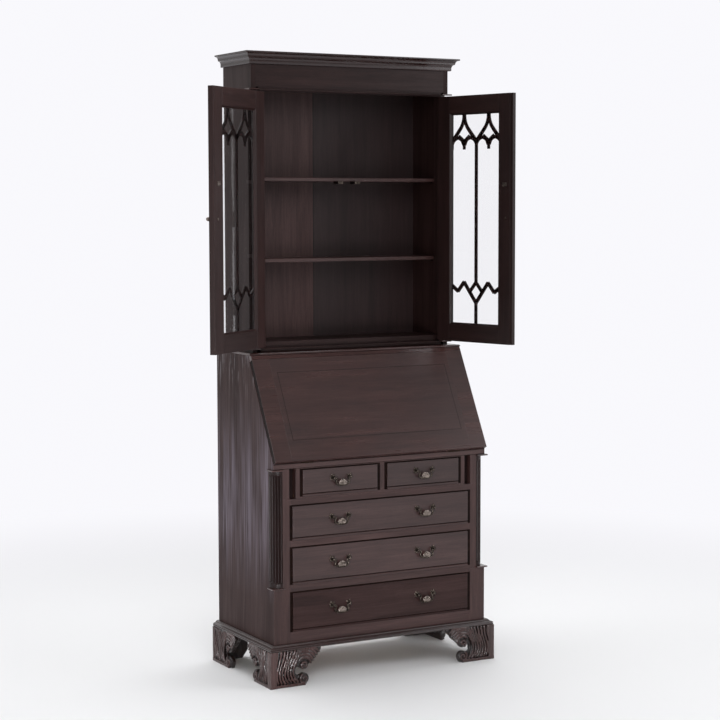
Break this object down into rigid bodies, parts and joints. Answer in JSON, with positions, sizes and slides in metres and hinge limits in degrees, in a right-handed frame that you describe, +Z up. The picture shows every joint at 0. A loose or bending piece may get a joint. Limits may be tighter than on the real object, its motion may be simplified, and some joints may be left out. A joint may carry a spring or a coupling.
{
  "type": "secretary desk",
  "caption": "Slant-front writing desk on scroll-cut bracket feet, with drawers under the lid and a glazed bookcase with hinged doors and a moulded cornice on top.",
  "frame": {"origin": "on the floor, under the middle of the lower case's plan", "axes": "+Z up, +X to the right of a person facing the desk, so the desk's front faces -Y"},
  "size_m": [1.1341, 0.6045, 2.174],
  "materials": {
    "mahogany": "old dark mahogany, wax polished",
    "oak": "plain oiled oak",
    "glass": "clear",
    "brass": "aged, dull"
  },
  "bodies": {
    "case": {"desk_sides": "mahogany", "desk_back": "oak", "desk_top": "mahogany", "writing_board": "mahogany", "desk_floor": "oak", "front_frame": "mahogany", "drawer_runners": "oak", "corner_columns": "mahogany", "column_plates": "mahogany", "base_moulding": "mahogany", "foot_front_left": "mahogany", "foot_front_right": "mahogany", "foot_back_left": "mahogany", "foot_back_right": "mahogany", "pigeonhole_unit": "mahogany", "case_sides": "mahogany", "case_back": "mahogany", "case_boards": "mahogany", "case_front": "mahogany", "frieze": "mahogany", "cornice": "mahogany", "shelves": "mahogany", "case_fittings": "brass", "hinges_fixed": "brass"},
    "door_left": {"door_left_frame": "mahogany", "door_left_glass": "glass", "door_left_tracery": "mahogany", "door_left_hardware": "brass"},
    "door_right": {"door_right_frame": "mahogany", "door_right_glass": "glass", "door_right_tracery": "mahogany", "door_right_hardware": "brass"},
    "lid": {"lid": "mahogany", "lid_hinges": "brass"},
    "loper_left": {"loper_left": "mahogany"},
    "loper_right": {"loper_right": "mahogany"},
    "drawer_small_left": {"drawer_small_left_front": "mahogany", "drawer_small_left_box": "oak", "drawer_small_left_posts": "brass"},
    "drawer_small_left_bail": {"drawer_small_left_bail": "brass"},
    "drawer_small_right": {"drawer_small_right_front": "mahogany", "drawer_small_right_box": "oak", "drawer_small_right_posts": "brass"},
    "drawer_small_right_bail": {"drawer_small_right_bail": "brass"},
    "drawer_upper": {"drawer_upper_front": "mahogany", "drawer_upper_box": "oak", "drawer_upper_posts": "brass"},
    "drawer_upper_bail_left": {"drawer_upper_bail_left": "brass"},
    "drawer_upper_bail_right": {"drawer_upper_bail_right": "brass"},
    "drawer_middle": {"drawer_middle_front": "mahogany", "drawer_middle_box": "oak", "drawer_middle_posts": "brass"},
    "drawer_middle_bail_left": {"drawer_middle_bail_left": "brass"},
    "drawer_middle_bail_right": {"drawer_middle_bail_right": "brass"},
    "drawer_bottom": {"drawer_bottom_front": "mahogany", "drawer_bottom_box": "oak", "drawer_bottom_posts": "brass"},
    "drawer_bottom_bail_left": {"drawer_bottom_bail_left": "brass"},
    "drawer_bottom_bail_right": {"drawer_bottom_bail_right": "brass"}
  },
  "joints": [
    {"name": "door_left_hinge", "type": "hinge", "parent": "case", "child": "door_left", "pos_m": [-0.369, -0.0157, 1.594], "axis": [0, 0, -1], "range_deg": [-143, 31]},
    {"name": "door_right_hinge", "type": "hinge", "parent": "case", "child": "door_right", "pos_m": [0.369, -0.0157, 1.594], "axis": [0, 0, 1], "range_deg": [-104, 70]},
    {"name": "lid_hinge", "type": "hinge", "parent": "case", "child": "lid", "pos_m": [0, -0.226, 0.768], "axis": [1, 0, 0], "range_deg": [0, 118.1]},
    {"name": "loper_left_slide", "type": "slide", "parent": "case", "child": "loper_left", "axis": [0, -1, 0], "range_m": [0, 0.25]},
    {"name": "loper_right_slide", "type": "slide", "parent": "case", "child": "loper_right", "axis": [0, -1, 0], "range_m": [0, 0.25]},
    {"name": "drawer_small_left_slide", "type": "slide", "parent": "case", "child": "drawer_small_left", "axis": [0, -1, 0], "range_m": [0, 0.3]},
    {"name": "drawer_small_left_bail_hinge", "type": "hinge", "parent": "drawer_small_left", "child": "drawer_small_left_bail", "pos_m": [-0.1665, -0.244, 0.709], "axis": [-1, 0, 0], "range_deg": [-15, 95]},
    {"name": "drawer_small_right_slide", "type": "slide", "parent": "case", "child": "drawer_small_right", "axis": [0, -1, 0], "range_m": [0, 0.3]},
    {"name": "drawer_small_right_bail_hinge", "type": "hinge", "parent": "drawer_small_right", "child": "drawer_small_right_bail", "pos_m": [0.1665, -0.244, 0.709], "axis": [-1, 0, 0], "range_deg": [-15, 95]},
    {"name": "drawer_upper_slide", "type": "slide", "parent": "case", "child": "drawer_upper", "axis": [0, -1, 0], "range_m": [0, 0.3]},
    {"name": "drawer_upper_bail_left_hinge", "type": "hinge", "parent": "drawer_upper", "child": "drawer_upper_bail_left", "pos_m": [-0.171, -0.244, 0.573], "axis": [-1, 0, 0], "range_deg": [-15, 95]},
    {"name": "drawer_upper_bail_right_hinge", "type": "hinge", "parent": "drawer_upper", "child": "drawer_upper_bail_right", "pos_m": [0.171, -0.244, 0.573], "axis": [-1, 0, 0], "range_deg": [-15, 95]},
    {"name": "drawer_middle_slide", "type": "slide", "parent": "case", "child": "drawer_middle", "axis": [0, -1, 0], "range_m": [0, 0.3]},
    {"name": "drawer_middle_bail_left_hinge", "type": "hinge", "parent": "drawer_middle", "child": "drawer_middle_bail_left", "pos_m": [-0.171, -0.244, 0.424], "axis": [-1, 0, 0], "range_deg": [-15, 95]},
    {"name": "drawer_middle_bail_right_hinge", "type": "hinge", "parent": "drawer_middle", "child": "drawer_middle_bail_right", "pos_m": [0.171, -0.244, 0.424], "axis": [-1, 0, 0], "range_deg": [-15, 95]},
    {"name": "drawer_bottom_slide", "type": "slide", "parent": "case", "child": "drawer_bottom", "axis": [0, -1, 0], "range_m": [0, 0.3]},
    {"name": "drawer_bottom_bail_left_hinge", "type": "hinge", "parent": "drawer_bottom", "child": "drawer_bottom_bail_left", "pos_m": [-0.171, -0.244, 0.264], "axis": [-1, 0, 0], "range_deg": [-15, 95]},
    {"name": "drawer_bottom_bail_right_hinge", "type": "hinge", "parent": "drawer_bottom", "child": "drawer_bottom_bail_right", "pos_m": [0.171, -0.244, 0.264], "axis": [-1, 0, 0], "range_deg": [-15, 95]}
  ]
}
